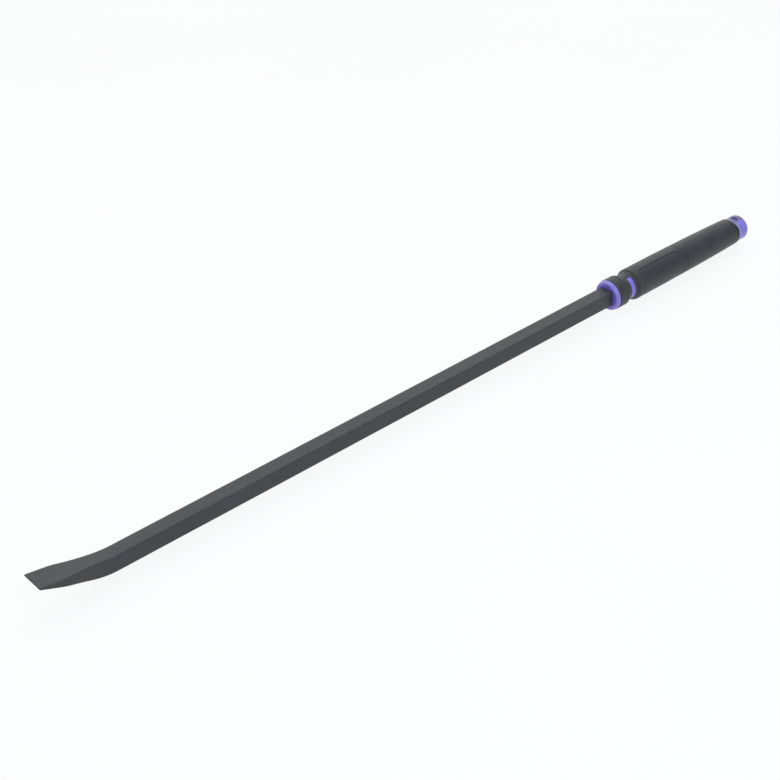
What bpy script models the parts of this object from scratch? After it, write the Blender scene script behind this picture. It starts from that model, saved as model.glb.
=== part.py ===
"""Long pry bar with a moulded two-colour handle, modelled in Blender 4.5.

Frame: metres, +Z up. The bar lies along X with its chisel tip at -X and its end cap at +X, and the
tip is bent up towards +Z. The origin is under the middle of the bar, on the surface it lies on: z = 0
is the underside of the grip. Places along the bar are given as distances from the tip, which
station() turns into X.
"""

import math

import bmesh
import bpy

# Overall
OVERALL_LENGTH = 1.067
CLEARANCE = 0.0003
TURN_STEPS = 48

# Forged steel bar: blade, square shank and tang in one piece
BAR_WIDTH = 0.019
BAR_EDGE_RADIUS = 0.0011
BLADE_WIDTH = 0.030
BLADE_PARALLEL = 0.027
BLADE_NECK = 0.056
BLADE_NECK_BLEND = 0.019
BLADE_EDGE = 0.0022
TIP_RISE = 0.0130
BEND_TOP = 0.082
BEND_TOP_BLEND = 0.008
BEND_UNDERSIDE = 0.0695
BEND_UNDERSIDE_BLEND = 0.015
SLICE = 0.004
TANG_END = 1.018

# Hard handle core: flat front flange with a rounded rim, neck, flare and the sleeve under the grips
FLANGE_FRONT = 0.8060
FLANGE_REAR = 0.8114
FLANGE_RADIUS = 0.0193
FLANGE_ROUND = 0.0066
FLANGE_ROUND_LENGTH = 0.0050
CORE_RADIUS = 0.0164
CORE_REAR = 1.0476
CORE_REAR_RADIUS = 0.0150
NECK_FRONT = 0.8330
NECK_RADIUS = 0.0160
FLARE_FRONT = 0.8370
FLARE_REAR = 0.8458
FLARE_RISE = 0.0016
FLARE_POWER = 2.0
FLARE_SLICES = 6
SPIGOT_BORE_RADIUS = 0.0118
SPIGOT_BORE_FRONT = 1.0220

# Soft front grip: guard band, two bridges over the neck, and the grip with its side panels
GUARD_FRONT = FLANGE_REAR + CLEARANCE
GUARD_RADIUS = 0.01975
GUARD_CORNER = 0.0012
GUARD_LINE = 0.8237
GUARD_REAR = 0.8292
GUARD_REAR_CORNER = 0.0014
GUARD_FOOT = 0.8366
GUARD_FOOT_SAG = 0.0003
LINE_DEPTH = 0.0004
WINDOW_FRONT = 0.8351
WINDOW_REAR = 0.8422
WINDOW_START = math.radians(21)
BRIDGE_WALL = 0.0006
GRIP_RADIUS = 0.0204
NOSE_FRONT = 0.8464
NOSE_LENGTH = 0.0032
PANEL_FRONT = 0.8564
PANEL_REAR = 0.9308
PANEL_START = math.radians(19.5)
PANEL_RADIUS = 0.0201
SEAM = 0.9392
SEAM_RADIUS = 0.0199
SEAM_CORNER = 0.0009

# Soft rear grip
SLEEVE_REAR = 1.0480
SLEEVE_REAR_RADIUS = 0.0177
SLEEVE_REAR_CORNER = 0.0012
SLEEVE_TAPER_POWER = 1.5
SLEEVE_SLICES = 8

# End cap with its oval hang hole
CAP_FRONT = SLEEVE_REAR + CLEARANCE
CAP_LIP_RADIUS = 0.0167
CAP_LIP_LENGTH = 0.0030
CAP_LIP_CORNER = 0.0006
CAP_RADIUS = 0.0164
CAP_ROUND_LENGTH = 0.0030
CAP_ROUND_FALL = 0.0028
HANG_HOLE_AT = 1.0556
HANG_HOLE_LENGTH = 0.0066
HANG_HOLE_WIDTH = 0.0112
SPIGOT_FRONT = 1.0235
SPIGOT_CORNER = 0.0010
SPIGOT_RADIUS = SPIGOT_BORE_RADIUS - CLEARANCE

# Cross pins that lock the tang in the core
PIN_RADIUS = 0.0030
PIN_CHAMFER = 0.0006
PIN_HALF_LENGTH = 0.0144
FRONT_PIN_AT = 0.8760
REAR_PIN_AT = 0.9920

AXIS_HEIGHT = GRIP_RADIUS
CUTTER_MARGIN = 0.010
CUTTER_OVERLAP = 0.002

# Linear colours
STEEL = (0.085, 0.088, 0.092, 1)
PIN_STEEL = (0.45, 0.45, 0.46, 1)
PURPLE = (0.215, 0.165, 0.62, 1)
RUBBER = (0.055, 0.056, 0.059, 1)


def station(distance):
    """X of a point that lies this far from the tip."""
    return distance - OVERALL_LENGTH / 2


def clear_scene():
    for obj in list(bpy.data.objects):
        bpy.data.objects.remove(obj)


def new_collection(name):
    collection = bpy.data.collections.new(name)
    bpy.context.scene.collection.children.link(collection)
    return collection


def set_material(obj, name, colour, roughness, metallic):
    material = bpy.data.materials.new(name)
    material.use_nodes = True
    shader = material.node_tree.nodes["Principled BSDF"]
    shader.inputs["Base Color"].default_value = colour
    shader.inputs["Roughness"].default_value = roughness
    shader.inputs["Metallic"].default_value = metallic
    obj.data.materials.append(material)


def add_object(name, mesh, collection):
    """Object whose origin is on the bar's axis, above the frame's origin."""
    obj = bpy.data.objects.new(name, mesh)
    obj.location = (0, 0, AXIS_HEIGHT)
    collection.objects.link(obj)
    return obj


def as_cutter(obj):
    obj.hide_render = True
    obj.display_type = "WIRE"
    return obj


def cut(obj, cutter):
    boolean = obj.modifiers.new("Cut " + cutter.name, "BOOLEAN")
    boolean.operation = "DIFFERENCE"
    boolean.solver = "EXACT"
    boolean.object = as_cutter(cutter)


def round_edges(obj, width, segments):
    bevel = obj.modifiers.new("Rounded edges", "BEVEL")
    bevel.width = width
    bevel.segments = segments
    bevel.limit_method = "ANGLE"
    bevel.angle_limit = math.radians(40)


def smooth_round_faces(obj):
    obj.data.shade_smooth()
    obj.data.set_sharp_from_angle(angle=math.radians(35))


def rising_arc(start, radius, length, rise, steps):
    """Quarter ellipse that leaves `radius` squarely at `start` and levels out `length` further on."""
    points = []
    for index in range(steps + 1):
        angle = math.pi / 2 * index / steps
        points.append((start + length * (1 - math.cos(angle)), radius + rise * math.sin(angle)))
    return points


def falling_arc(end, radius, length, fall, steps):
    """The mirror image of rising_arc: level at `radius`, then down to the end face at `end`."""
    rising = rising_arc(-end, radius - fall, length, fall, steps)
    return [(-distance, height) for distance, height in reversed(rising)]


def turned(name, outline, collection, closed):
    """Solid turned about the bar's axis from (distance from tip, radius) points.

    The points run front to rear along the outside. A closed outline makes a sleeve, and its points go
    on from rear to front along the bore. An open one starts and ends on the axis.
    """
    mesh = bpy.data.meshes.new(name)
    points = [(radius, 0, station(distance)) for distance, radius in reversed(outline)]
    edges = [(index, index + 1) for index in range(len(points) - 1)]
    if closed:
        edges.append((len(points) - 1, 0))
    mesh.from_pydata(points, edges, [])
    obj = add_object(name, mesh, collection)
    obj.rotation_euler = (0, math.pi / 2, 0)
    screw = obj.modifiers.new("Turn", "SCREW")
    screw.steps = TURN_STEPS
    screw.render_steps = TURN_STEPS
    screw.use_merge_vertices = True
    screw.merge_threshold = 0.00001
    screw.use_smooth_shade = True
    return obj


def rod(name, radius, length, at, collection):
    """Cylinder along Z through the bar's axis, at a distance from the tip."""
    mesh = bpy.data.meshes.new(name)
    shape = bmesh.new()
    bmesh.ops.create_cone(
        shape, cap_ends=True, segments=24, radius1=radius, radius2=radius, depth=length
    )
    shape.to_mesh(mesh)
    shape.free()
    obj = add_object(name, mesh, collection)
    obj.location.x = station(at)
    return obj


def cross_rod(name, radius, length, at, collection):
    """The same cylinder, turned to lie along Y."""
    obj = rod(name, radius, length, at, collection)
    obj.rotation_euler = (math.pi / 2, 0, 0)
    return obj


def square_prism(name, width, front, rear, collection):
    """Square bar along the axis, for the bores that take the shank."""
    mesh = bpy.data.meshes.new(name)
    shape = bmesh.new()
    bmesh.ops.create_cube(shape, size=1)
    bmesh.ops.scale(shape, vec=(rear - front, width, width), verts=shape.verts)
    shape.to_mesh(mesh)
    shape.free()
    obj = add_object(name, mesh, collection)
    obj.location.x = station((front + rear) / 2)
    return obj


def side_sector(name, side, inner, start, front, rear, collection):
    """Cutter on one side of the handle: a ring sector from `start` off +Z to `start` off -Z."""
    steps = 24
    points = []
    for radius, order in ((1.3 * GRIP_RADIUS, range(steps + 1)), (inner, range(steps, -1, -1))):
        for index in order:
            angle = start + (math.pi - 2 * start) * index / steps
            points.append((side * radius * math.sin(angle), radius * math.cos(angle)))
    curve = bpy.data.curves.new(name, "CURVE")
    curve.dimensions = "2D"
    curve.fill_mode = "BOTH"
    curve.extrude = (rear - front) / 2
    spline = curve.splines.new("POLY")
    spline.points.add(len(points) - 1)
    for point, (across, up) in zip(spline.points, points):
        point.co = (across, up, 0, 1)
    spline.use_cyclic_u = True
    outline = add_object(name + " outline", curve, collection)
    outline.location.x = station((front + rear) / 2)
    outline.rotation_euler = (math.pi / 2, 0, math.pi / 2)
    bpy.context.view_layer.update()
    evaluated = outline.evaluated_get(bpy.context.evaluated_depsgraph_get())
    mesh = bpy.data.meshes.new_from_object(evaluated)
    shape = bmesh.new()
    shape.from_mesh(mesh)
    bmesh.ops.remove_doubles(shape, verts=shape.verts, dist=0.00001)
    bmesh.ops.recalc_face_normals(shape, faces=shape.faces)
    shape.to_mesh(mesh)
    shape.free()
    obj = add_object(name, mesh, collection)
    obj.matrix_world = outline.matrix_world
    bpy.data.objects.remove(outline)
    return obj


def ramp(distance, corner, slope, blend):
    """Height that climbs towards the tip from `corner`, with a rounded foot of half length `blend`."""
    ahead = corner - distance
    if ahead <= -blend:
        return 0
    if ahead >= blend:
        return slope * ahead
    return slope * (ahead + blend) ** 2 / (4 * blend)


def blade_half_width(distance):
    flare = (BLADE_WIDTH - BAR_WIDTH) / 2
    slope = flare / (BLADE_NECK - BLADE_PARALLEL)
    return BAR_WIDTH / 2 + min(flare, ramp(distance, BLADE_NECK, slope, BLADE_NECK_BLEND))


def bar_top(distance):
    slope = TIP_RISE / BEND_TOP
    return BAR_WIDTH / 2 + ramp(distance, BEND_TOP, slope, BEND_TOP_BLEND)


def bar_underside(distance):
    slope = (TIP_RISE + BAR_WIDTH - BLADE_EDGE) / BEND_UNDERSIDE
    return -BAR_WIDTH / 2 + ramp(distance, BEND_UNDERSIDE, slope, BEND_UNDERSIDE_BLEND)


def pin_holes(obj, collection):
    """Drills one node for the two cross pins."""
    for label, pin_at in (("front", FRONT_PIN_AT), ("rear", REAR_PIN_AT)):
        name = "%s pin hole in %s" % (label, obj.name)
        cut(obj, cross_rod(name, PIN_RADIUS + CLEARANCE, 3 * CORE_RADIUS, pin_at, collection))


def make_pry_bar(parts, cutters):
    """Square bar, drawn out and flared to a chisel blade that is bent up, with a cross-drilled tang."""
    mesh = bpy.data.meshes.new("pry_bar")
    shape = bmesh.new()
    bmesh.ops.create_cube(shape, size=1)
    bmesh.ops.scale(shape, vec=(TANG_END, BAR_WIDTH, BAR_WIDTH), verts=shape.verts)
    bmesh.ops.translate(shape, vec=(station(TANG_END / 2), 0, 0), verts=shape.verts)
    slice_count = math.ceil((BEND_TOP + BEND_TOP_BLEND) / SLICE)
    slices = [BLADE_PARALLEL] + [SLICE * index for index in range(1, slice_count + 1)]
    for distance in sorted(slices):
        bmesh.ops.bisect_plane(
            shape,
            geom=shape.verts[:] + shape.edges[:] + shape.faces[:],
            plane_co=(station(distance), 0, 0),
            plane_no=(1, 0, 0),
            dist=0.000001,
        )
    for vertex in shape.verts:
        distance = vertex.co.x - station(0)
        vertex.co.y = math.copysign(blade_half_width(distance), vertex.co.y)
        vertex.co.z = bar_top(distance) if vertex.co.z > 0 else bar_underside(distance)
    shape.to_mesh(mesh)
    shape.free()
    bar = add_object("pry_bar", mesh, parts)
    round_edges(bar, BAR_EDGE_RADIUS, 3)
    pin_holes(bar, cutters)
    set_material(bar, "black oxide steel", STEEL, 0.5, 0.6)
    return bar


def flare(offset):
    """The core's flare behind the neck, as outline points moved outwards by an offset."""
    points = []
    for index in range(FLARE_SLICES + 1):
        fraction = index / FLARE_SLICES
        distance = FLARE_FRONT + (FLARE_REAR - FLARE_FRONT) * fraction
        points.append((distance, NECK_RADIUS + FLARE_RISE * fraction ** FLARE_POWER + offset))
    return points


def make_handle_core(parts, cutters):
    """Hard body: flange, neck and flare seen through the windows, and the sleeve behind."""
    outline = [(FLANGE_FRONT, 0)]
    rim_angle = math.asin(FLANGE_ROUND_LENGTH / FLANGE_ROUND)
    for index in range(7):
        angle = rim_angle * (1 - index / 6)
        back = FLANGE_ROUND_LENGTH - FLANGE_ROUND * math.sin(angle)
        outline.append((FLANGE_FRONT + back, FLANGE_RADIUS - FLANGE_ROUND * (1 - math.cos(angle))))
    outline += [(FLANGE_REAR, FLANGE_RADIUS), (FLANGE_REAR, CORE_RADIUS), (NECK_FRONT, NECK_RADIUS)]
    outline += flare(0)
    outline += [
        (FLARE_REAR, CORE_RADIUS),
        (SEAM, CORE_RADIUS),
        (CORE_REAR, CORE_REAR_RADIUS),
        (CORE_REAR, SPIGOT_BORE_RADIUS),
        (SPIGOT_BORE_FRONT, SPIGOT_BORE_RADIUS),
        (SPIGOT_BORE_FRONT, 0),
    ]
    core = turned("handle_core", outline, parts, closed=False)
    front = FLANGE_FRONT - CUTTER_MARGIN
    bore_width = BAR_WIDTH + 2 * CLEARANCE
    cut(core, square_prism("tang bore", bore_width, front, SPIGOT_BORE_FRONT + CUTTER_OVERLAP, cutters))
    pin_holes(core, cutters)
    set_material(core, "purple nylon body", PURPLE, 0.4, 0.0)
    return core


def make_front_grip(parts, cutters):
    """Soft moulding in one piece: guard band, bridges, and the grip with its recessed panels."""
    bore = CORE_RADIUS + CLEARANCE
    foot = NECK_RADIUS + CLEARANCE + BRIDGE_WALL
    rear = GUARD_RADIUS - GUARD_REAR_CORNER
    outline = [(GUARD_FRONT, bore)]
    outline += rising_arc(GUARD_FRONT, GUARD_RADIUS - GUARD_CORNER, GUARD_CORNER, GUARD_CORNER, 3)
    outline += line_groove(GUARD_LINE, GUARD_RADIUS)
    outline += falling_arc(GUARD_REAR, GUARD_RADIUS, GUARD_REAR_CORNER, GUARD_REAR_CORNER, 4)
    outline += [((GUARD_REAR + GUARD_FOOT) / 2, (rear + foot) / 2 - GUARD_FOOT_SAG)]
    outline += flare(CLEARANCE + BRIDGE_WALL)
    nose = NECK_RADIUS + FLARE_RISE + CLEARANCE + BRIDGE_WALL
    outline += rising_arc(NOSE_FRONT, nose, NOSE_LENGTH, GRIP_RADIUS - nose, 5)
    outline += falling_arc(SEAM, SEAM_RADIUS, SEAM_CORNER, SEAM_CORNER, 3)
    flare_end = FLARE_REAR + CLEARANCE
    outline += [(SEAM, bore), (flare_end, bore), (flare_end, NECK_RADIUS + FLARE_RISE + CLEARANCE)]
    outline += reversed(flare(CLEARANCE))
    outline += [(NECK_FRONT, NECK_RADIUS + CLEARANCE)]
    grip = turned("front_grip", outline, parts, closed=True)
    for side, label in ((-1, "near"), (1, "far")):
        cut(grip, side_sector(
            label + " window", side, NECK_RADIUS / 2, WINDOW_START, WINDOW_FRONT, WINDOW_REAR, cutters
        ))
        cut(grip, side_sector(
            label + " panel", side, PANEL_RADIUS, PANEL_START, PANEL_FRONT, PANEL_REAR, cutters
        ))
    set_material(grip, "black grip rubber", RUBBER, 0.65, 0.0)
    return grip


def line_groove(middle, radius):
    """Fine V groove round a turned surface."""
    return [
        (middle - LINE_DEPTH, radius),
        (middle, radius - LINE_DEPTH),
        (middle + LINE_DEPTH, radius),
    ]


def make_rear_grip(parts):
    """Soft sleeve that tapers from the seam to the end cap."""
    front = SEAM + CLEARANCE
    taper_length = SLEEVE_REAR - SLEEVE_REAR_CORNER - front
    outline = [(front, CORE_RADIUS + CLEARANCE)]
    outline += rising_arc(front, SEAM_RADIUS - SEAM_CORNER, SEAM_CORNER, SEAM_CORNER, 3)
    for index in range(1, SLEEVE_SLICES):
        fraction = index / SLEEVE_SLICES
        fall = (SEAM_RADIUS - SLEEVE_REAR_RADIUS) * fraction ** SLEEVE_TAPER_POWER
        outline.append((front + taper_length * fraction, SEAM_RADIUS - fall))
    outline += falling_arc(
        SLEEVE_REAR, SLEEVE_REAR_RADIUS, SLEEVE_REAR_CORNER, SLEEVE_REAR_CORNER, 3
    )
    outline += [(SLEEVE_REAR, CORE_REAR_RADIUS + CLEARANCE)]
    grip = turned("rear_grip", outline, parts, closed=True)
    set_material(grip, "black sleeve rubber", RUBBER, 0.65, 0.0)
    return grip


def make_end_cap(parts, cutters):
    """Hard plug with a lip, a rounded end, an oval hang hole and a spigot that enters the core."""
    lip_rear = CAP_FRONT + CAP_LIP_LENGTH
    outline = [
        (SPIGOT_FRONT, 0),
        (SPIGOT_FRONT, SPIGOT_RADIUS - SPIGOT_CORNER),
        (SPIGOT_FRONT + SPIGOT_CORNER, SPIGOT_RADIUS),
        (CAP_FRONT, SPIGOT_RADIUS),
    ]
    lip_start = CAP_LIP_RADIUS - CAP_LIP_CORNER
    outline += rising_arc(CAP_FRONT, lip_start, CAP_LIP_CORNER, CAP_LIP_CORNER, 3)
    outline += [(lip_rear - 0.0004, CAP_LIP_RADIUS), (lip_rear, CAP_RADIUS)]
    outline += falling_arc(OVERALL_LENGTH, CAP_RADIUS, CAP_ROUND_LENGTH, CAP_ROUND_FALL, 6)
    outline += [(OVERALL_LENGTH, 0)]
    cap = turned("end_cap", outline, parts, closed=False)
    hole = rod("hang hole", HANG_HOLE_LENGTH / 2, 3 * CAP_RADIUS, HANG_HOLE_AT, cutters)
    hole.scale.y = HANG_HOLE_WIDTH / HANG_HOLE_LENGTH
    cut(cap, hole)
    set_material(cap, "purple nylon cap", PURPLE, 0.4, 0.0)
    return cap


def make_tang_pin(name, at, parts):
    """Steel dowel across the core and the tang, with chamfered ends."""
    pin = cross_rod(name, PIN_RADIUS, 2 * PIN_HALF_LENGTH, at, parts)
    round_edges(pin, PIN_CHAMFER, 1)
    set_material(pin, name + " steel", PIN_STEEL, 0.3, 1.0)
    return pin


def main():
    clear_scene()
    parts = new_collection("pry bar")
    cutters = new_collection("cutters")
    made = [
        make_pry_bar(parts, cutters),
        make_handle_core(parts, cutters),
        make_front_grip(parts, cutters),
        make_rear_grip(parts),
        make_end_cap(parts, cutters),
        make_tang_pin("front_tang_pin", FRONT_PIN_AT, parts),
        make_tang_pin("rear_tang_pin", REAR_PIN_AT, parts),
    ]
    for obj in made:
        smooth_round_faces(obj)


main()
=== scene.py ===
"""Studio view of a long pry bar with a moulded two-colour handle.

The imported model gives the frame. Every visible piece here is a finer mesh that stands for one of its
nodes. Shapes are written in millimetres: a place along the bar is its distance from the tip, and an
angle round the handle is measured from the top towards the camera's side.
"""
import math

import bmesh
import bpy
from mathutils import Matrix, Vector, noise


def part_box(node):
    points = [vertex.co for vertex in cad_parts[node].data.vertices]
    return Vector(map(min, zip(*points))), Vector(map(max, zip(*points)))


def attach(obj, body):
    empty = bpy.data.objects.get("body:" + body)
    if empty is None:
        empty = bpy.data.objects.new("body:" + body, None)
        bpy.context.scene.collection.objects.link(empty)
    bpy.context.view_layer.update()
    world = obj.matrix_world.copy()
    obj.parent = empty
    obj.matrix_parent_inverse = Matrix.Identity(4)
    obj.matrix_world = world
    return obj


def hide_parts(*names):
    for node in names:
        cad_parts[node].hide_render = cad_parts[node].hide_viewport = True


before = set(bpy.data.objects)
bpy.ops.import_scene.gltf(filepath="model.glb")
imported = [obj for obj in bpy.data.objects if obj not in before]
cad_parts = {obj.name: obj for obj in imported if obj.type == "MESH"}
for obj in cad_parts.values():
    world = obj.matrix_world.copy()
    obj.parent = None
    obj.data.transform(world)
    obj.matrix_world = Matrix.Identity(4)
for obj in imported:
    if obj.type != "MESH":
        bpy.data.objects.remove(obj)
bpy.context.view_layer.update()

MM = 0.001


TIP_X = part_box("pry_bar")[0].x
AXIS_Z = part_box("rear_grip")[0].z + (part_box("rear_grip")[1].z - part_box("rear_grip")[0].z) / 2

# How far the moulded edges sweep towards the tip at the crown, and the angle over which that fades
EDGE_DIP, EDGE_DIP_SPREAD = 4.4, 62.0


# Mesh tools

SHARP_ANGLE = 38


def place(distance, across, up):
    """Point of the model from millimetres along, across and up from the bar's axis."""
    return Vector((TIP_X + distance * MM, across * MM, AXIS_Z + up * MM))


def on_ring(distance, radius, angle):
    turn = math.radians(angle)
    return place(distance, -radius * math.sin(turn), radius * math.cos(turn))


def mesh_from(name, shape):
    mesh = bpy.data.meshes.new(name)
    shape.to_mesh(mesh)
    shape.free()
    return mesh


def add_object(name, data):
    thing = bpy.data.objects.new(name, data)
    bpy.context.scene.collection.objects.link(thing)
    return thing


def soften(mesh):
    """Smooth shading, but for the sharp edges."""
    mesh.shade_smooth()
    mesh.set_sharp_from_angle(angle=math.radians(SHARP_ANGLE))


def new_piece(name, shape, material, node):
    """Finishes a mesh, and makes it ride with the model in place of one node."""
    bmesh.ops.recalc_face_normals(shape, faces=shape.faces)
    mesh = mesh_from(name, shape)
    soften(mesh)
    piece = add_object(name, mesh)
    mesh.materials.append(material)
    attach(piece, "root")
    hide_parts(node)
    return piece


def skin(shape, rows, closed, opening=None):
    """Joins rows of points into a surface. Each row is a ring, and closed joins the last to the first.

    opening(row, column) says which faces are left out. Returns the rows of vertices.
    """
    made = [[shape.verts.new(point) for point in row] for row in rows]
    columns = len(rows[0])
    for row in range(len(rows) if closed else len(rows) - 1):
        here, there = made[row], made[(row + 1) % len(rows)]
        for column in range(columns):
            if opening and opening(row, column):
                continue
            after = (column + 1) % columns
            shape.faces.new((here[column], here[after], there[after], there[column]))
    return made


def close_ends(shape, made):
    """Fills the first and the last ring of a skin."""
    shape.faces.new(made[0])
    shape.faces.new(made[-1])


def even_angles(count):
    return [360 * index / count for index in range(count)]


def angles_beside(edge, offsets, count):
    """Even angles round the handle, and close ones beside the four copies of one edge.

    The edge is an angle from the top. Its copies mirror it to the other side and the underside, and an
    offset above 0 goes from each of them towards the nearer side of the handle.
    """
    close = set()
    for offset in offsets:
        for start, turn in ((0, 1), (180, -1), (180, 1), (360, -1)):
            close.add(round((start + turn * (edge + offset)) % 360, 3))
    angles = set(close)
    for angle in even_angles(count):
        if all(abs((angle - other + 180) % 360 - 180) > 180 / count for other in close):
            angles.add(angle)
    return sorted(angles)


def smooth_step(low, high, value):
    fraction = min(1.0, max(0.0, (value - low) / (high - low)))
    return fraction * fraction * (3 - 2 * fraction)


def arc_points(start, end, level_first, count):
    """Quarter ellipse between two (distance, radius) points, level at the first or the second one."""
    points = []
    for index in range(count + 1):
        angle = math.pi / 2 * index / count
        if level_first:
            along, rise = math.sin(angle), 1 - math.cos(angle)
        else:
            along, rise = 1 - math.cos(angle), math.sin(angle)
        points.append((
            start[0] + (end[0] - start[0]) * along, start[1] + (end[1] - start[1]) * rise
        ))
    return points


def spaced(start, end, step):
    """Distances from start up to end, start included and end left out."""
    count = max(1, round((end - start) / step))
    return [start + (end - start) * index / count for index in range(count)]


def groove(middle, radius, depth, half):
    """Soft-edged groove round a turned surface."""
    points = []
    for step in range(-4, 5):
        along = step / 4
        points.append((middle + half * along, radius - depth * (1 + math.cos(math.pi * along)) / 2))
    return points


def folded(angle):
    """Angle from the top, the same on both sides of the handle."""
    return abs((angle + 180) % 360 - 180)


def edge_dip(angle):
    """How far the moulded edges behind the panels sweep towards the tip over the top and underside."""
    from_crown = min(folded(angle), 180 - folded(angle))
    return EDGE_DIP * smooth_step(EDGE_DIP_SPREAD, 0, from_crown)


# Materials

class NodeTree:
    """Small helper for writing procedural nodes."""

    def __init__(self, tree, coordinates):
        self.nodes = tree.nodes
        self.links = tree.links
        self.place = self.nodes.new("ShaderNodeTexCoord").outputs[coordinates]

    def stretched(self, scale):
        mapping = self.nodes.new("ShaderNodeMapping")
        mapping.inputs["Scale"].default_value = scale
        self.links.new(self.place, mapping.inputs["Vector"])
        return mapping.outputs["Vector"]

    def noise(self, scale, detail=3, roughness=0.5, vector=None):
        texture = self.nodes.new("ShaderNodeTexNoise")
        texture.inputs["Scale"].default_value = scale
        texture.inputs["Detail"].default_value = detail
        texture.inputs["Roughness"].default_value = roughness
        self.links.new(vector or self.place, texture.inputs["Vector"])
        return texture.outputs["Fac"]

    def axis(self, name):
        split = self.nodes.new("ShaderNodeSeparateXYZ")
        self.links.new(self.place, split.inputs["Vector"])
        return split.outputs[name]

    def remap(self, value, from_low, from_high, to_low, to_high):
        node = self.nodes.new("ShaderNodeMapRange")
        node.interpolation_type = "SMOOTHSTEP"
        node.inputs["From Min"].default_value = from_low
        node.inputs["From Max"].default_value = from_high
        node.inputs["To Min"].default_value = to_low
        node.inputs["To Max"].default_value = to_high
        self.links.new(value, node.inputs["Value"])
        return node.outputs["Result"]

    def math(self, operation, first, second):
        node = self.nodes.new("ShaderNodeMath")
        node.operation = operation
        for socket, value in ((node.inputs[0], first), (node.inputs[1], second)):
            if isinstance(value, (int, float)):
                socket.default_value = value
            else:
                self.links.new(value, socket)
        return node.outputs["Value"]

    def squares(self, first, second):
        """Sum of two squares."""
        return self.math("ADD", self.math("POWER", first, 2), self.math("POWER", second, 2))

    def mix(self, factor, first, second):
        node = self.nodes.new("ShaderNodeMix")
        node.data_type = "RGBA"
        self.links.new(factor, node.inputs["Factor"])
        for socket, value in ((node.inputs[6], first), (node.inputs[7], second)):
            if isinstance(value, tuple):
                socket.default_value = value
            else:
                self.links.new(value, socket)
        return node.outputs[2]


class Recipe(NodeTree):
    """A procedural material on one Principled shader."""

    def __init__(self, name):
        self.material = bpy.data.materials.new(name)
        self.material.use_nodes = True
        super().__init__(self.material.node_tree, "Object")
        self.shader = self.nodes["Principled BSDF"]

    def set(self, **values):
        for name, value in values.items():
            self.shader.inputs[name.replace("_", " ")].default_value = value

    def worn_edges(self, radius, low, high):
        """1 on convex edges, fading to 0 on flat faces."""
        bevel = self.nodes.new("ShaderNodeBevel")
        bevel.samples = 6
        bevel.inputs["Radius"].default_value = radius
        geometry = self.nodes.new("ShaderNodeNewGeometry")
        dot = self.nodes.new("ShaderNodeVectorMath")
        dot.operation = "DOT_PRODUCT"
        self.links.new(bevel.outputs["Normal"], dot.inputs[0])
        self.links.new(geometry.outputs["Normal"], dot.inputs[1])
        return self.remap(dot.outputs["Value"], high, low, 0, 1)

    def colour(self, value):
        self.links.new(value, self.shader.inputs["Base Color"])

    def roughness(self, value):
        self.links.new(value, self.shader.inputs["Roughness"])

    def bump(self, *layers):
        """Stacks (height, strength, distance) layers of bump."""
        before = None
        for height, strength, distance in layers:
            node = self.nodes.new("ShaderNodeBump")
            node.inputs["Strength"].default_value = strength
            node.inputs["Distance"].default_value = distance
            self.links.new(height, node.inputs["Height"])
            if before:
                self.links.new(before, node.inputs["Normal"])
            before = node.outputs["Normal"]
        self.links.new(before, self.shader.inputs["Normal"])


def grey(value, blue=0.0):
    return (value, value * (1 + 0.4 * blue), value * (1 + blue), 1)


def oxide_steel():
    """Forged bar with a satin black oxide skin, a little paler where the blade was dressed."""
    recipe = Recipe("black_oxide_steel")
    recipe.set(Metallic=0.0, Specular_IOR_Level=0.27)
    mottle = recipe.noise(55, 6, 0.62)
    patches = recipe.noise(14, 4, 0.55, recipe.stretched((0.35, 1, 1)))
    drawn = recipe.noise(260, 4, 0.6, recipe.stretched((0.06, 1, 1)))
    base = recipe.mix(recipe.remap(mottle, 0.36, 0.66, 0, 1), grey(0.031, 0.14), grey(0.044, 0.11))
    base = recipe.mix(recipe.remap(patches, 0.42, 0.70, 0, 0.55), base, grey(0.050, 0.02))
    grit = recipe.remap(recipe.noise(420, 3, 0.6), 0.38, 0.64, 0, 0.35)
    base = recipe.mix(grit, base, grey(0.066, 0.02))
    dressed = recipe.remap(recipe.axis("X"), TIP_X + 0.012, TIP_X + 0.060, 1, 0)
    dressed = recipe.math("MULTIPLY", dressed, recipe.remap(drawn, 0.35, 0.65, 0.15, 0.75))
    base = recipe.mix(dressed, base, grey(0.034, 0.03))
    specks = recipe.remap(recipe.noise(900, 2, 0.5), 0.70, 0.78, 0, 0.5)
    base = recipe.mix(specks, base, grey(0.12, 0.0))
    recipe.colour(base)
    recipe.roughness(recipe.remap(mottle, 0.3, 0.7, 0.40, 0.54))
    recipe.bump(
        (patches, 0.25, 0.0012),
        (mottle, 0.35, 0.0004),
        (recipe.noise(1300, 3, 0.6), 0.30, 0.0001),
    )
    return recipe.material


# The band of painted shade before the sleeve's end, for the shade at its rounded end and in the gap to the
# cap: where it starts and is full, and the heights it sweeps over
BAND_FRONT, BAND_REAR = 6.5, 4.0
BAND_FLANK, BAND_CROWN = 8.3, 17.7


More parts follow.
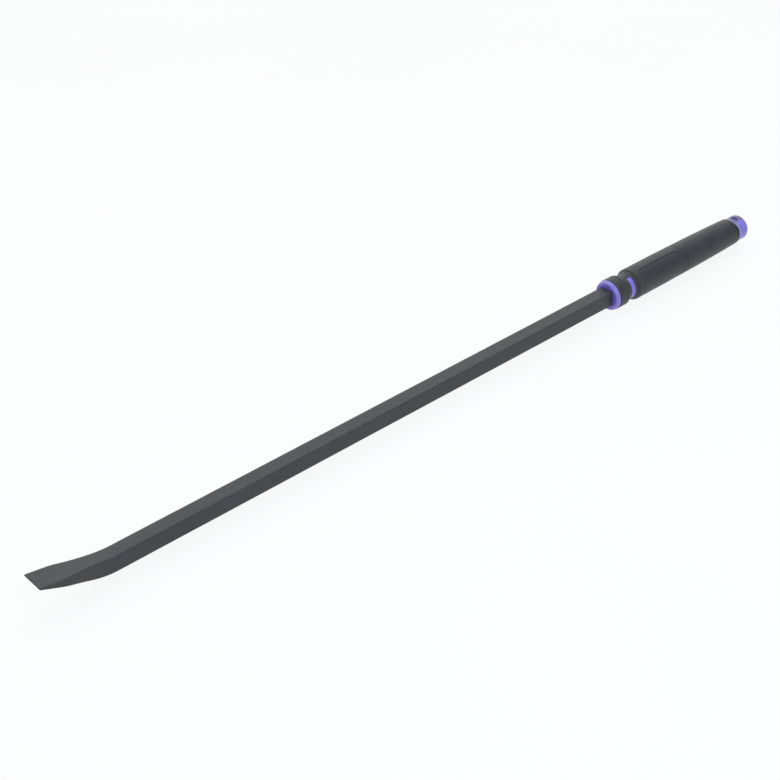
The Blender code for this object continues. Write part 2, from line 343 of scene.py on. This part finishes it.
def grip_rubber(name, pale, dark, end=None):
    """Soft moulding with a fine spark-eroded grain and faint handling marks.

    end is the place along the bar where the moulding stops, with a dark band of painted shade before it,
    for the shade at its rounded end. The band follows the sweep of the moulding's edge.
    """
    recipe = Recipe(name)
    recipe.set(Specular_IOR_Level=0.43, Sheen_Weight=0.09, Sheen_Roughness=0.45)
    cloud = recipe.noise(38, 5, 0.6)
    grain = recipe.noise(1500, 3, 0.65)
    base = recipe.mix(recipe.remap(cloud, 0.35, 0.68, 0, 1), grey(dark, 0.06), grey(pale, 0.06))
    dust = recipe.remap(recipe.noise(620, 2, 0.5), 0.64, 0.74, 0, 0.35)
    base = recipe.mix(dust, base, grey(pale * 1.9, 0.0))
    if end:
        crown = recipe.remap(recipe.axis("Z"), AXIS_Z + BAND_FLANK * MM, AXIS_Z + BAND_CROWN * MM, 0, 1)
        dip = recipe.math("MULTIPLY", recipe.math("POWER", crown, 3), EDGE_DIP * MM)
        unswept = recipe.math("ADD", recipe.axis("X"), dip)
        front, rear = TIP_X + (end - BAND_FRONT) * MM, TIP_X + (end - BAND_REAR) * MM
        # Painted shade: the rubber darkens to near black over the band before its end.
        end_shade = recipe.remap(unswept, front, rear, 0, 0.95)
        base = recipe.mix(end_shade, base, grey(0.004, 0.2))
    recipe.colour(base)
    recipe.roughness(recipe.remap(cloud, 0.3, 0.7, 0.50, 0.62))
    recipe.bump((cloud, 0.12, 0.0005), (grain, 0.45, 0.00012))
    return recipe.material


# Radii over which the flange goes from the painted shade of its flat face to the paler painted highlight
# of its rim, and heights over which the cap's crown gets darker and greyer
FACE_SHADE_FROM, FACE_SHADE_TO = 14.8, 18.6
CROWN_FROM, CROWN_TO = 13.2, 16.2
# The hang hole's painted shade: how far it reaches from the hole's middle, and the heights it deepens
# between
HOLE_SHADE_REACH = 6.6
HOLE_SHADE_FROM, HOLE_SHADE_TO = 15.4, 10.0


def purple_nylon(name, cap_lip_to=None, flange_shading=False):
    """Hard body plastic, satin, with a faint flow pattern and paler scuffed edges.

    For the cap, a place along the bar is given: a paler band, painted highlight on the cap's lip, fades
    out there, and the cap gets paler towards its rear end. The cap is also darker and greyer along its
    crown, with painted shade inside its hang hole.
    For the body, a flag paints the flat face of its flange in shade and the rim round it paler, as light
    falls on them.
    """
    recipe = Recipe(name)
    recipe.set(Specular_IOR_Level=0.5, Subsurface_Weight=0.06, Subsurface_Scale=0.0012)
    flow = recipe.noise(60, 4, 0.55, recipe.stretched((0.4, 1, 1)))
    fine = recipe.noise(1100, 3, 0.6)
    base = recipe.mix(
        recipe.remap(flow, 0.35, 0.68, 0, 1), (0.205, 0.163, 0.60, 1), (0.245, 0.198, 0.66, 1)
    )
    edges = recipe.worn_edges(0.0009, 0.80, 0.99)
    edges = recipe.math("MULTIPLY", edges, recipe.remap(recipe.noise(420, 3, 0.6), 0.3, 0.6, 0.25, 0.8))
    base = recipe.mix(edges, base, (0.40, 0.37, 0.78, 1))
    # Painted light on the flange: its flat face darker as painted shade, its rim paler as a painted
    # highlight.
    if flange_shading:
        up = recipe.math("SUBTRACT", recipe.axis("Z"), AXIS_Z)
        reach = recipe.math("SQRT", recipe.squares(up, recipe.axis("Y")), 0)
        rim = recipe.remap(reach, FACE_SHADE_FROM * MM, FACE_SHADE_TO * MM, 0, 1)
        flange = recipe.mix(rim, (0.150, 0.112, 0.50, 1), (0.225, 0.185, 0.555, 1))
        front = recipe.math("LESS_THAN", recipe.axis("X"), TIP_X + (FLANGE_REAR + 0.2) * MM)
        base = recipe.mix(front, base, flange)
    if cap_lip_to:
        # Paler band on the cap's lip, a painted highlight, and paler towards the cap's rear end.
        rim = recipe.remap(recipe.axis("X"), TIP_X + (cap_lip_to - 1.6) * MM, TIP_X + cap_lip_to * MM, 0.75, 0)
        cap_end = TIP_X + CAP_REAR * MM
        rear = recipe.remap(recipe.axis("X"), cap_end - 4 * MM, cap_end - MM, 0, 0.6)
        rim = recipe.math("ADD", rim, rear)
        base = recipe.mix(rim, base, (0.34, 0.31, 0.50, 1))
        # Darker and greyer along the cap's crown.
        crown = recipe.remap(recipe.axis("Z"), AXIS_Z + CROWN_FROM * MM, AXIS_Z + CROWN_TO * MM, 0, 0.9)
        base = recipe.mix(crown, base, (0.130, 0.112, 0.175, 1))
        # Painted shade inside the hang hole.
        base = recipe.mix(hole_shade(recipe), base, (0.085, 0.075, 0.13, 1))
    recipe.colour(base)
    recipe.roughness(recipe.remap(flow, 0.3, 0.7, 0.34, 0.46))
    recipe.bump((fine, 0.30, 0.00008), (flow, 0.08, 0.0006))
    return recipe.material


def hole_shade(recipe):
    """Mask of painted shade: 1 deep inside the cap's hang hole, 0 on the cap's surface."""
    along = recipe.math("SUBTRACT", recipe.axis("X"), TIP_X + HOLE_AT * MM)
    reach = recipe.squares(along, recipe.axis("Y"))
    inside = recipe.math("LESS_THAN", reach, (HOLE_SHADE_REACH * MM) ** 2)
    height = recipe.math("ABSOLUTE", recipe.math("SUBTRACT", recipe.axis("Z"), AXIS_Z), 0)
    depth = recipe.remap(height, HOLE_SHADE_FROM * MM, HOLE_SHADE_TO * MM, 0, 0.9)
    return recipe.math("MULTIPLY", inside, depth)


def pin_steel():
    recipe = Recipe("ground_pin_steel")
    recipe.set(Metallic=1.0)
    rings = recipe.noise(700, 3, 0.5, recipe.stretched((1, 0.1, 1)))
    recipe.colour(recipe.mix(recipe.remap(rings, 0.3, 0.7, 0, 1), grey(0.42), grey(0.56)))
    recipe.roughness(recipe.remap(rings, 0.3, 0.7, 0.22, 0.38))
    recipe.bump((rings, 0.2, 0.0001))
    return recipe.material


# The steel bar

BAR_HALF = 9.5
BAR_CORNER = 1.1
BLADE_HALF = 15.0
BLADE_PARALLEL, BLADE_NECK, BLADE_NECK_BLEND = 27.0, 56.0, 19.0
BLADE_SHOULDER = 1.4
TIP_RISE = 13.0
TIP_EDGE = 2.2
BEND_TOP, BEND_TOP_BLEND = 82.0, 8.0
BEND_UNDER, BEND_UNDER_BLEND = 69.5, 15.0
TANG_END = 1018.0
# (distance, inset) of the rings that round the tip's edge over
TIP_ROUND = ((0.0, 0.70), (0.15, 0.45), (0.4, 0.24), (0.8, 0.10))
BLADE_END, BAR_SEEN_END = 130, 812
ARC_STEPS = 5
SIDE_STEPS = 7


def ramp(distance, corner, slope, blend):
    """Rise ahead of a corner on the way to the tip, with the corner blended over a length."""
    ahead = corner - distance
    if ahead <= -blend:
        return 0.0
    if ahead >= blend:
        return slope * ahead
    return slope * (ahead + blend) ** 2 / (4 * blend)


def soft_limit(value, limit, blend):
    """value, held at limit with a rounded shoulder."""
    if value <= limit - blend:
        return value
    if value >= limit + blend:
        return limit
    return limit - (limit + blend - value) ** 2 / (4 * blend)


def bar_section(distance, inset):
    """Ring of (across, up, outward) round the bar: four sides and four rounded corners."""
    flare = BLADE_HALF - BAR_HALF
    widening = ramp(distance, BLADE_NECK, flare / (BLADE_NECK - BLADE_PARALLEL), BLADE_NECK_BLEND)
    half = BAR_HALF + soft_limit(widening, flare, BLADE_SHOULDER) - inset
    top = BAR_HALF + ramp(distance, BEND_TOP, TIP_RISE / BEND_TOP, BEND_TOP_BLEND) - inset
    drop = (TIP_RISE + 2 * BAR_HALF - TIP_EDGE) / BEND_UNDER
    under = -BAR_HALF + ramp(distance, BEND_UNDER, drop, BEND_UNDER_BLEND) + inset
    corner = min(BAR_CORNER, 0.42 * (top - under))
    points = []
    centres = (
        (half - corner, top - corner, 0),
        (-half + corner, top - corner, 90),
        (-half + corner, under + corner, 180),
        (half - corner, under + corner, 270),
    )
    for index, (across, up, turn) in enumerate(centres):
        for step in range(ARC_STEPS + 1):
            angle = math.radians(turn + 90 * step / ARC_STEPS)
            points.append((across + corner * math.cos(angle), up + corner * math.sin(angle)))
        after = centres[(index + 1) % 4]
        angle = math.radians(turn + 90)
        start = (across + corner * math.cos(angle), up + corner * math.sin(angle))
        end = (after[0] + corner * math.cos(angle), after[1] + corner * math.sin(angle))
        for step in range(1, SIDE_STEPS):
            part = step / SIDE_STEPS
            points.append((
                start[0] + (end[0] - start[0]) * part, start[1] + (end[1] - start[1]) * part
            ))
    return points


def hammered(distance, across, up):
    """Moves a point of the bar inwards a little, as forging and scale leave it."""
    near = smooth_step(0, 6, distance) * smooth_step(FLANGE_FRONT, FLANGE_FRONT - 36, distance)
    broad = noise.noise(Vector((distance / 46, across / 30, up / 30)))
    close = noise.noise(Vector((distance / 15 + 7, across / 13, up / 13)))
    blade = 1 + 1.1 * smooth_step(120, 60, distance)
    depth = near * blade * (0.10 * abs(broad) + 0.05 * abs(close))
    size = math.hypot(across, up)
    return across * (1 - depth / size), up * (1 - depth / size)


def make_bar():
    distances = spaced(1.2, BLADE_END, 1.6) + spaced(BLADE_END, BAR_SEEN_END, 5.5)
    distances += [BAR_SEEN_END, TANG_END]
    rows = []
    for inset_at, inset in TIP_ROUND:
        rows.append([place(inset_at, a, u) for a, u in bar_section(inset_at, inset)])
    for distance in distances:
        section = bar_section(distance, 0.0)
        row = []
        for across, up in section:
            across, up = hammered(distance, across, up)
            row.append(place(distance, across, up))
        rows.append(row)
    shape = bmesh.new()
    close_ends(shape, skin(shape, rows, closed=False))
    return new_piece("forged_bar", shape, oxide_steel(), "pry_bar")


# The hard handle body

FLANGE_FRONT, FLANGE_REAR, FLANGE_RADIUS = 806.0, 811.4, 19.3
FLANGE_ROUND, FLANGE_ROUND_LENGTH = 6.6, 5.0
FACE_ROUND = 0.6
BORE_HALF, BORE_CORNER = 9.8, 0.6
BORE_END, BORE_END_RADIUS = 1021.0, 14.2
CORE_RADIUS = 16.4
NECK_FRONT, NECK_RADIUS = 833.0, 16.0
FLARE_FRONT, FLARE_REAR, FLARE_RISE = 837.0, 845.8, 1.6
CORE_REAR, CORE_REAR_RADIUS = 1047.6, 15.0
SEAM = 939.2
CLEAR = 0.3


def square_radius(half, corner, angle):
    """Distance from the axis to a rounded square, in the direction of an angle from the top."""
    turn = math.radians(angle)
    across, up = abs(math.sin(turn)), abs(math.cos(turn))
    reach = half / max(across, up)
    inner = half - corner
    if min(across, up) * reach <= inner:
        return reach
    middle = inner * (across + up)
    return middle + math.sqrt(max(0.0, middle ** 2 - 2 * inner ** 2 + corner ** 2))


def flare(distance):
    part = min(1.0, max(0.0, (distance - FLARE_FRONT) / (FLARE_REAR - FLARE_FRONT)))
    return NECK_RADIUS + FLARE_RISE * part ** 2


def make_core():
    angles = even_angles(192)

    def ring(distance, radius):
        return [on_ring(distance, radius, angle) for angle in angles]

    def square(distance, half):
        return [on_ring(distance, square_radius(half, BORE_CORNER, angle), angle) for angle in angles]

    def between(distance, half, reach, part):
        row = []
        for angle in angles:
            inner = square_radius(half, BORE_CORNER, angle)
            row.append(on_ring(distance, inner + (reach - inner) * part, angle))
        return row

    rim_turn = math.asin((FLANGE_ROUND_LENGTH - FACE_ROUND) / (FLANGE_ROUND - FACE_ROUND))
    middle = FLANGE_RADIUS - FLANGE_ROUND + (FLANGE_ROUND - FACE_ROUND) * math.cos(rim_turn)
    rows = [
        square(BORE_END, BORE_HALF),
        square(FLANGE_FRONT + 0.6, BORE_HALF),
        square(FLANGE_FRONT + 0.2, BORE_HALF + 0.06),
        square(FLANGE_FRONT + 0.05, BORE_HALF + 0.18),
    ]
    rows += [between(FLANGE_FRONT, BORE_HALF + 0.35, middle, part) for part in (0.0, 0.3, 0.6, 0.9, 1.0)]
    for index in range(1, 6):
        turn = math.pi / 2 + (rim_turn - math.pi / 2) * index / 5
        back = FACE_ROUND * (1 - math.sin(turn))
        rows.append(ring(FLANGE_FRONT + back, middle + FACE_ROUND * math.cos(turn)))
    for index in range(1, 13):
        turn = rim_turn * (1 - index / 12)
        back = FLANGE_ROUND_LENGTH - FLANGE_ROUND * math.sin(turn)
        rows.append(ring(FLANGE_FRONT + back, FLANGE_RADIUS - FLANGE_ROUND * (1 - math.cos(turn))))
    edge = arc_points((FLANGE_REAR - 0.35, FLANGE_RADIUS), (FLANGE_REAR, FLANGE_RADIUS - 0.4), True, 4)
    rows += [ring(d, r) for d, r in edge]
    rows += [ring(FLANGE_REAR, CORE_RADIUS), ring(NECK_FRONT, NECK_RADIUS)]
    rows += [ring(distance, flare(distance)) for distance in spaced(FLARE_FRONT, FLARE_REAR, 0.6)]
    rows += [
        ring(FLARE_REAR, flare(FLARE_REAR)),
        ring(FLARE_REAR, CORE_RADIUS),
        ring(SEAM, CORE_RADIUS),
        ring(CORE_REAR, CORE_REAR_RADIUS),
        ring(CORE_REAR, BORE_END_RADIUS),
        ring(BORE_END, BORE_END_RADIUS),
    ]
    shape = bmesh.new()
    skin(shape, rows, closed=True)
    nylon = purple_nylon("purple_body_nylon", flange_shading=True)
    return new_piece("handle_body", shape, nylon, "handle_core")


# The soft grips

GUARD_FRONT, GUARD_REAR, GUARD_RADIUS = 811.7, 829.4, 19.75
GUARD_CORNER, GUARD_ROLL, GUARD_DROP = 1.2, 3.4, 1.35
GUARD_LINE = 823.7
GUARD_FOOT = 836.6
BRIDGE_WALL = 0.6
WINDOW_FRONT, WINDOW_REAR, WINDOW_ANGLE = 835.1, 842.2, 20.0
GRIP_RADIUS = 20.4
NOSE_FRONT, NOSE_END = 846.4, 849.6
NOSE_LINE = 848.4
PANEL_FRONT, PANEL_REAR, PANEL_ANGLE = 856.3, 931.0, 20.0
PANEL_CORNER = 3.0
SEAM_RADIUS, SEAM_ROUND, SEAM_FALL = 20.0, 1.5, 1.5
BORE = CORE_RADIUS + CLEAR
EDGE_ROUND = 0.45


def grip_radius(distance):
    """Outline of the front grip behind its nose: level, then a slight taper to the seam."""
    return GRIP_RADIUS - (GRIP_RADIUS - SEAM_RADIUS) * smooth_step(895, SEAM, distance)


def panel_distance(distance, angle):
    """Millimetres outside (+) or inside (-) the edge of the nearest side panel."""
    along = abs(distance - (PANEL_FRONT + PANEL_REAR) / 2) - (PANEL_REAR - PANEL_FRONT) / 2
    round_about = (abs(folded(angle) - 90) - (90 - PANEL_ANGLE)) * math.radians(1) * GRIP_RADIUS
    along += PANEL_CORNER
    round_about += PANEL_CORNER
    outside = math.hypot(max(along, 0.0), max(round_about, 0.0))
    return outside + min(0.0, max(along, round_about)) - PANEL_CORNER


def panel_depth(distance, angle):
    """How far the front grip's surface lies under its outline: panel, its edge groove and nose line."""
    edge = panel_distance(distance, angle)
    depth = 0.12 * smooth_step(0.5, -0.5, edge)
    depth += 0.85 * math.exp(-(edge / 0.70) ** 2)
    line = math.exp(-((distance - NOSE_LINE) / 0.6) ** 2)
    return depth + 0.30 * line * smooth_step(62, 88, folded(angle))


def window_edge(distance, angle):
    """Millimetres outside the nearest window of the front grip."""
    along = max(WINDOW_FRONT - distance, distance - WINDOW_REAR, 0.0)
    about = max(abs(folded(angle) - 90) - (90 - WINDOW_ANGLE), 0.0) * math.radians(1) * NECK_RADIUS
    return math.hypot(along, about)


def window_rounding(distance, angle):
    gap = window_edge(distance, angle)
    if gap >= EDGE_ROUND:
        return 0.0
    return EDGE_ROUND - math.sqrt(EDGE_ROUND ** 2 - (EDGE_ROUND - gap) ** 2)


def neck_outside(distance):
    """Outside radius of the front grip between its guard band and its nose."""
    foot = NECK_RADIUS + CLEAR + BRIDGE_WALL
    if distance >= GUARD_FOOT:
        return flare(distance) + CLEAR + BRIDGE_WALL
    top = GUARD_RADIUS - GUARD_DROP
    part = (distance - GUARD_REAR) / (GUARD_FOOT - GUARD_REAR)
    return top + (foot - top) * part - 0.3 * math.sin(math.pi * part)


def front_outline():
    """(distance, radius) points along the outside of the front grip."""
    start, level = (GUARD_FRONT, GUARD_RADIUS - GUARD_CORNER), (GUARD_FRONT + GUARD_CORNER, GUARD_RADIUS)
    points = arc_points(start, level, False, 7)
    points += [(distance, GUARD_RADIUS) for distance in spaced(813.9, GUARD_LINE - 0.8, 1.0)]
    points += groove(GUARD_LINE, GUARD_RADIUS, 0.5, 0.8)
    roll = (GUARD_REAR - GUARD_ROLL, GUARD_RADIUS)
    points += arc_points(roll, (GUARD_REAR, GUARD_RADIUS - GUARD_DROP), True, 9)
    neck = spaced(GUARD_REAR, 834.6, 0.7)[1:] + spaced(834.6, WINDOW_FRONT, 0.12) + [WINDOW_FRONT, 835.5]
    neck += spaced(836.0, 842.0, 0.8) + [WINDOW_REAR] + spaced(842.32, 842.8, 0.12)
    neck += spaced(843.2, NOSE_FRONT, 0.5)
    points += [(distance, neck_outside(distance)) for distance in neck]
    points += arc_points((NOSE_FRONT, neck_outside(NOSE_FRONT)), (NOSE_END, GRIP_RADIUS), False, 12)
    body = spaced(849.9, PANEL_FRONT - 1.6, 0.7)
    body += spaced(PANEL_FRONT - 1.6, PANEL_FRONT + 4.2, 0.25)
    body += spaced(PANEL_FRONT + 4.2, PANEL_REAR - 4.2, 1.2)
    body += spaced(PANEL_REAR - 4.2, PANEL_REAR + 1.6, 0.25)
    body += spaced(PANEL_REAR + 1.6, SEAM - SEAM_ROUND, 0.8)
    points += [(distance, grip_radius(distance)) for distance in body]
    end = (SEAM - SEAM_ROUND, grip_radius(SEAM - SEAM_ROUND))
    points += arc_points(end, (SEAM, SEAM_RADIUS - SEAM_FALL), True, 8)
    return points


SEAM_SWEEP_FRONT, SEAM_SWEEP_REAR = 924.0, 960.0


def swept(distance, angle):
    """Moves a place near the seam, so that the seam follows the sweep and the rest stays put."""
    share = smooth_step(SEAM_SWEEP_FRONT, PANEL_REAR + 2, distance)
    share *= smooth_step(SEAM_SWEEP_REAR, SEAM + 3, distance)
    return distance - share * edge_dip(angle)


def make_front_grip():
    angles = angles_beside(WINDOW_ANGLE, [-5.4 + 0.45 * step for step in range(32)], 180)
    outside = front_outline()
    rows = []
    for distance, radius in outside:
        row = []
        for angle in angles:
            depth = window_rounding(distance, angle) + panel_depth(distance, angle)
            row.append(on_ring(swept(distance, angle), radius - depth, angle))
        rows.append(row)
    flare_end = FLARE_REAR + CLEAR
    inside = [(SEAM, BORE), (SEAM_SWEEP_FRONT, BORE), (flare_end, BORE)]
    inside += [(flare_end, flare(flare_end) + CLEAR)]
    inside += [(distance, flare(distance) + CLEAR) for distance in (844.0, WINDOW_REAR, 840.0, 838.0)]
    inside += [(WINDOW_FRONT, NECK_RADIUS + CLEAR), (NECK_FRONT, NECK_RADIUS + CLEAR)]
    inside += [(GUARD_FRONT, BORE)]
    for distance, radius in inside:
        rows.append([on_ring(swept(distance, angle), radius, angle) for angle in angles])
    profile = outside + inside

    def in_window(row, column):
        first, second = profile[row][0], profile[(row + 1) % len(profile)][0]
        if min(first, second) < WINDOW_FRONT - 0.001 or max(first, second) > WINDOW_REAR + 0.001:
            return False
        here, after = angles[column], angles[(column + 1) % len(angles)]
        if after < here:
            after += 360
        return WINDOW_ANGLE < folded((here + after) / 2) < 180 - WINDOW_ANGLE

    shape = bmesh.new()
    skin(shape, rows, closed=True, opening=in_window)
    wall_windows(shape)
    rubber = grip_rubber("black_grip_rubber", 0.035, 0.024)
    return new_piece("front_grip_moulding", shape, rubber, "front_grip")


def wall_windows(shape):
    """Closes the cut edge of each window with a strip between the outer and the inner skin."""
    rims = []
    left = {edge for edge in shape.edges if edge.is_boundary}
    while left:
        rim = [left.pop()]
        ends = list(rim[0].verts)
        while ends:
            for edge in ends.pop().link_edges:
                if edge in left:
                    left.discard(edge)
                    rim.append(edge)
                    ends += edge.verts
        rims.append(rim)
    for side in (-1, 1):
        pair = [rim for rim in rims if rim_middle(rim).y * side > 0]
        bmesh.ops.bridge_loops(shape, edges=pair[0] + pair[1])


def rim_middle(rim):
    return sum((edge.verts[0].co for edge in rim), Vector()) / len(rim)


SLEEVE_REAR, SLEEVE_END_ROUND, SLEEVE_END_RADIUS = 1048.0, 1.4, 16.1
SLEEVE_RADIUS, SLEEVE_TAPER, SLEEVE_CURVE = 19.85, 2.12, 1.6
CAP_SWEEP_FRONT, CAP_SWEEP_REAR = 1030.0, 1053.0


def rear_radius(distance):
    """Outline of the rear grip: it tapers more and more towards the cap."""
    part = min(1.0, max(0.0, (distance - SEAM - 3) / 106))
    return SLEEVE_RADIUS - SLEEVE_TAPER * part ** SLEEVE_CURVE


def make_rear_grip():
    angles = even_angles(160)
    front = SEAM + CLEAR
    first = rear_radius(front)
    outline = arc_points((front, first - SEAM_FALL), (front + SEAM_ROUND, first), False, 8)
    outline += [(d, rear_radius(d)) for d in spaced(941.8, SLEEVE_REAR - SLEEVE_END_ROUND, 2.0)]
    end = SLEEVE_REAR - SLEEVE_END_ROUND
    outline += arc_points((end, rear_radius(end)), (SLEEVE_REAR, SLEEVE_END_RADIUS), True, 9)
    outline += [(SLEEVE_REAR, CORE_REAR_RADIUS + CLEAR), (CAP_SWEEP_FRONT, CORE_REAR_RADIUS + CLEAR + 0.3)]
    outline += [(SEAM_SWEEP_REAR, BORE), (front, BORE)]
    rows = []
    for distance, radius in outline:
        row = []
        for angle in angles:
            moved = swept(distance, angle)
            moved -= smooth_step(CAP_SWEEP_FRONT, SLEEVE_REAR, distance) * edge_dip(angle)
            row.append(on_ring(moved, radius, angle))
        rows.append(row)
    shape = bmesh.new()
    skin(shape, rows, closed=True)
    rubber = grip_rubber("black_sleeve_rubber", 0.032, 0.021, SLEEVE_REAR)
    return new_piece("rear_grip_sleeve", shape, rubber, "rear_grip")


# The end cap

CAP_FRONT, CAP_REAR = 1048.3, 1067.0
CAP_RADIUS, CAP_LIP = 16.4, 16.7
LIP_INNER = 15.2
SPIGOT_END, SPIGOT_RADIUS = 1023.5, 11.5
END_FLAT = 6.0
LIP_BAND_LENGTH = 3.1
CAP_ROUND_LENGTH, CAP_ROUND_FALL = 3.0, 2.8
HOLE_AT, HOLE_HALF_LENGTH, HOLE_HALF_WIDTH = 1055.9, 3.0, 5.5
HOLE_ROUND = 1.3


def make_cap():
    angles = even_angles(144)
    spigot = [(SPIGOT_END, SPIGOT_RADIUS - 1.0), (SPIGOT_END + 1.0, SPIGOT_RADIUS)]
    spigot += [(CAP_FRONT, SPIGOT_RADIUS), (CAP_FRONT, LIP_INNER)]
    lip = arc_points((CAP_FRONT - 0.01, LIP_INNER + 0.1), (CAP_FRONT + 0.7, CAP_LIP), False, 7)
    lip += [(1049.5, CAP_LIP), (1050.1, CAP_LIP)]
    lip += arc_points((1050.7, CAP_LIP), (1051.1, CAP_RADIUS + 0.05), True, 4)
    round_from = CAP_REAR - CAP_ROUND_LENGTH
    lip += [(1051.4, CAP_RADIUS)] + [(d, CAP_RADIUS) for d in spaced(1052.0, round_from, 1.0)]
    lip += arc_points((round_from, CAP_RADIUS), (CAP_REAR, CAP_RADIUS - CAP_ROUND_FALL), True, 12)
    lip += [(CAP_REAR, END_FLAT)]
    rows = [[on_ring(d, r, angle) for angle in angles] for d, r in spigot]
    for distance, radius in lip:
        share = smooth_step(CAP_SWEEP_REAR, CAP_FRONT, distance)
        rows.append([on_ring(distance - share * edge_dip(angle), radius, angle) for angle in angles])
    shape = bmesh.new()
    close_ends(shape, skin(shape, rows, closed=False))
    nylon = purple_nylon("purple_cap_nylon", CAP_FRONT + LIP_BAND_LENGTH)
    cap = new_piece("hang_cap", shape, nylon, "end_cap")
    cutter = hole_cutter()
    boolean = cap.modifiers.new("Hang hole", "BOOLEAN")
    boolean.operation = "DIFFERENCE"
    boolean.solver = "EXACT"
    boolean.object = cutter
    bpy.context.view_layer.update()
    result = bpy.data.meshes.new_from_object(cap.evaluated_get(bpy.context.evaluated_depsgraph_get()))
    cap.modifiers.remove(boolean)
    cap.data = result
    soften(result)
    bpy.data.objects.remove(cutter)
    return cap


def hole_cutter():
    """Oval plug through the cap, flared at both ends so that the hole's rims come out rounded."""
    levels = [(2.0, HOLE_ROUND)]
    for index in range(9):
        turn = math.pi / 2 * index / 8
        levels.append((0.01 - HOLE_ROUND * (1 - math.cos(turn)), HOLE_ROUND * (1 - math.sin(turn))))
    rows = [hole_ring(grow, up, 1) for up, grow in levels]
    rows += [hole_ring(grow, up, -1) for up, grow in reversed(levels)]
    shape = bmesh.new()
    close_ends(shape, skin(shape, rows, closed=False))
    bmesh.ops.recalc_face_normals(shape, faces=shape.faces)
    return add_object("hole_cutter", mesh_from("hole_cutter", shape))


def hole_ring(grow, up, side):
    """One ring of the hole's cutter, at a height above the cap's curved surface."""
    row = []
    for index in range(48):
        angle = 2 * math.pi * index / 48
        along = (HOLE_HALF_LENGTH + grow) * math.cos(angle)
        across = (HOLE_HALF_WIDTH + grow) * math.sin(angle)
        surface = math.sqrt(CAP_RADIUS ** 2 - across ** 2)
        row.append(place(HOLE_AT + along, across, side * (surface + up)))
    return row


# The stage

def make_floor():
    shape = bmesh.new()
    bmesh.ops.create_grid(shape, x_segments=2, y_segments=2, size=12)
    mesh = mesh_from("studio_floor", shape)
    floor = add_object("studio_floor", mesh)
    recipe = Recipe("pale_floor")
    recipe.set(Roughness=0.9, Specular_IOR_Level=0.1, Emission_Color=(1, 1, 1, 1), Emission_Strength=0.88)
    tone = recipe.noise(1.5, 2, 0.5)
    recipe.colour(recipe.mix(recipe.remap(tone, 0.3, 0.7, 0, 1), grey(0.075), grey(0.085)))
    mesh.materials.append(recipe.material)


def add_area(name, place_at, aim, size, power, colour=(1, 1, 1)):
    light = bpy.data.lights.new(name, "AREA")
    light.color = colour
    light.shape = "RECTANGLE"
    light.size, light.size_y = size
    light.energy = power
    lamp = add_object(name, light)
    lamp.location = place_at
    lamp.rotation_euler = (Vector(aim) - Vector(place_at)).to_track_quat("-Z", "Y").to_euler()


# The sky turns from dim and cool to bright and neutral between two levels of Y, and is dimmer past the tip
SKY_TURN = (-0.42, 0.52)
SKY_FRONT, SKY_BACK = 0.44, 1.42
SKY_COOL, SKY_NEUTRAL = (0.86, 0.97, 1.12, 1), (1, 1, 1, 1)
SKY_TIP_SHARE = 0.4
SOFTBOX_COOL = (0.84, 0.97, 1.14)


def light_studio():
    """A sky that is bright behind the bar and dim on the camera's side, and two softboxes."""
    world = bpy.data.worlds.new("studio")
    bpy.context.scene.world = world
    world.use_nodes = True
    sky = NodeTree(world.node_tree, "Generated")
    level = sky.remap(sky.axis("Y"), *SKY_TURN, SKY_FRONT, SKY_BACK)
    level = sky.math("MULTIPLY", level, sky.remap(sky.axis("X"), -1.0, 0.0, SKY_TIP_SHARE, 1.0))
    background = world.node_tree.nodes["Background"]
    tint = sky.mix(sky.remap(sky.axis("Y"), *SKY_TURN, 0, 1), SKY_COOL, SKY_NEUTRAL)
    sky.links.new(tint, background.inputs["Color"])
    sky.links.new(level, background.inputs["Strength"])
    add_area("top_softbox", (0.1, 0.4, 2.2), (0, 0, 0), (2.6, 1.6), 12)
    add_area("front_softbox", (-0.46, -1.54, 1.43), (0.2, 0, 0), (1.5, 1.0), 20, SOFTBOX_COOL)


CAMERA_LENS = 68.77
CAMERA_AT = (-0.95490, -1.06418, 0.94771)
CAMERA_TURN = (56.77965, 2.82275, -41.18929)


def set_camera():
    camera = bpy.data.cameras.new("camera")
    camera.sensor_width = 36
    camera.lens = CAMERA_LENS
    camera.clip_start = 0.05
    eye = add_object("camera", camera)
    eye.location = CAMERA_AT
    eye.rotation_euler = [math.radians(turn) for turn in CAMERA_TURN]
    bpy.context.scene.camera = eye


make_bar()
make_core()
make_front_grip()
make_rear_grip()
make_cap()
for pin in ("front_tang_pin", "rear_tang_pin"):
    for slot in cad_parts[pin].material_slots:
        slot.material = pin_steel()
make_floor()
light_studio()
set_camera()
bpy.context.scene.view_settings.view_transform = "Standard"

bpy.context.view_layer.update()
